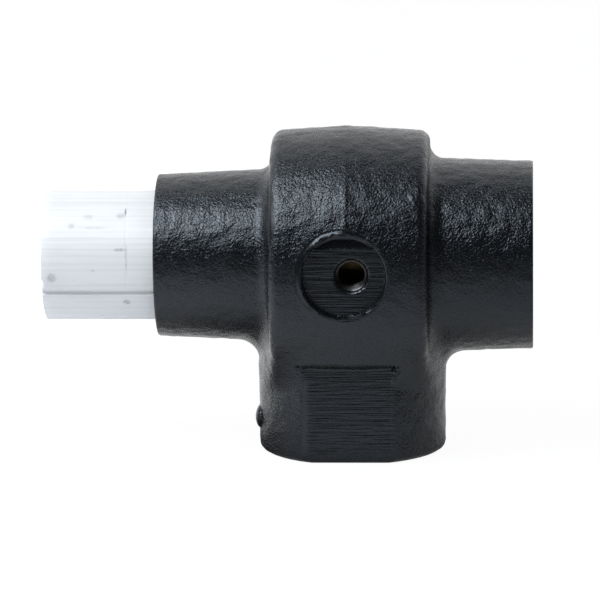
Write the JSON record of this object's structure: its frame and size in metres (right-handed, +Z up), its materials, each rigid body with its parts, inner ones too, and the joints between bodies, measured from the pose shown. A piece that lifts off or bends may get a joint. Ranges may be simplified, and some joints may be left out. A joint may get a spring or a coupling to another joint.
{
  "type": "minimum pressure valve",
  "caption": "Minimum pressure valve for a screw air compressor: black cast body with inlet, outlet and gauge ports, spring barrel, piston and check plug.",
  "frame": {"origin": "centre of the outlet's mouth in the plane of the hub's foot", "axes": "+X along the piston axis towards the inlet, +Z up from the outlet towards the chamber, gauge port faces -Y"},
  "size_m": [0.1915, 0.1011, 0.1278],
  "materials": {
    "cast_iron_black": "black enamel on a sand casting",
    "aluminium": "bare, drawn, satin",
    "piston_aluminium": "turned, clear anodised",
    "stainless": "turned",
    "spring_steel": "oiled",
    "zinc_steel": "zinc plated",
    "brass": "turned",
    "bronze": "sintered, oiled",
    "guide_plastic": "moulded",
    "rubber": "moulded"
  },
  "bodies": {
    "valve": {"valve_body": "cast_iron_black", "seat_ring": "stainless", "seat_o_ring": "rubber", "spring_barrel": "aluminium", "barrel_o_ring": "rubber", "retaining_ring": "spring_steel", "spring_cap": "zinc_steel", "preload_shim": "zinc_steel", "main_spring": "spring_steel"},
    "check_plug_group": {"check_plug": "brass", "check_spring": "spring_steel", "seat_seal": "rubber", "seal_retainer": "stainless", "lock_washer": "spring_steel", "retainer_screw": "stainless"},
    "piston_group": {"pressure_piston": "piston_aluminium", "stem_bush": "bronze", "rear_guide_ring": "guide_plastic", "front_guide_ring": "guide_plastic", "piston_o_ring": "rubber", "spring_seat_washer": "zinc_steel"}
  },
  "joints": [
    {"name": "valve_lift", "type": "slide", "parent": "valve", "child": "check_plug_group", "axis": [-1, 0, 0], "range_m": [0, 0.012], "stiffness_N_per_m": 32000, "springref_m": -0.0168, "deforming": ["main_spring"]},
    {"name": "piston_float", "type": "slide", "parent": "check_plug_group", "child": "piston_group", "axis": [-1, 0, 0], "range_m": [0, 0.012], "stiffness_N_per_m": 32000, "springref_m": -0.0168, "deforming": ["check_spring"]}
  ]
}
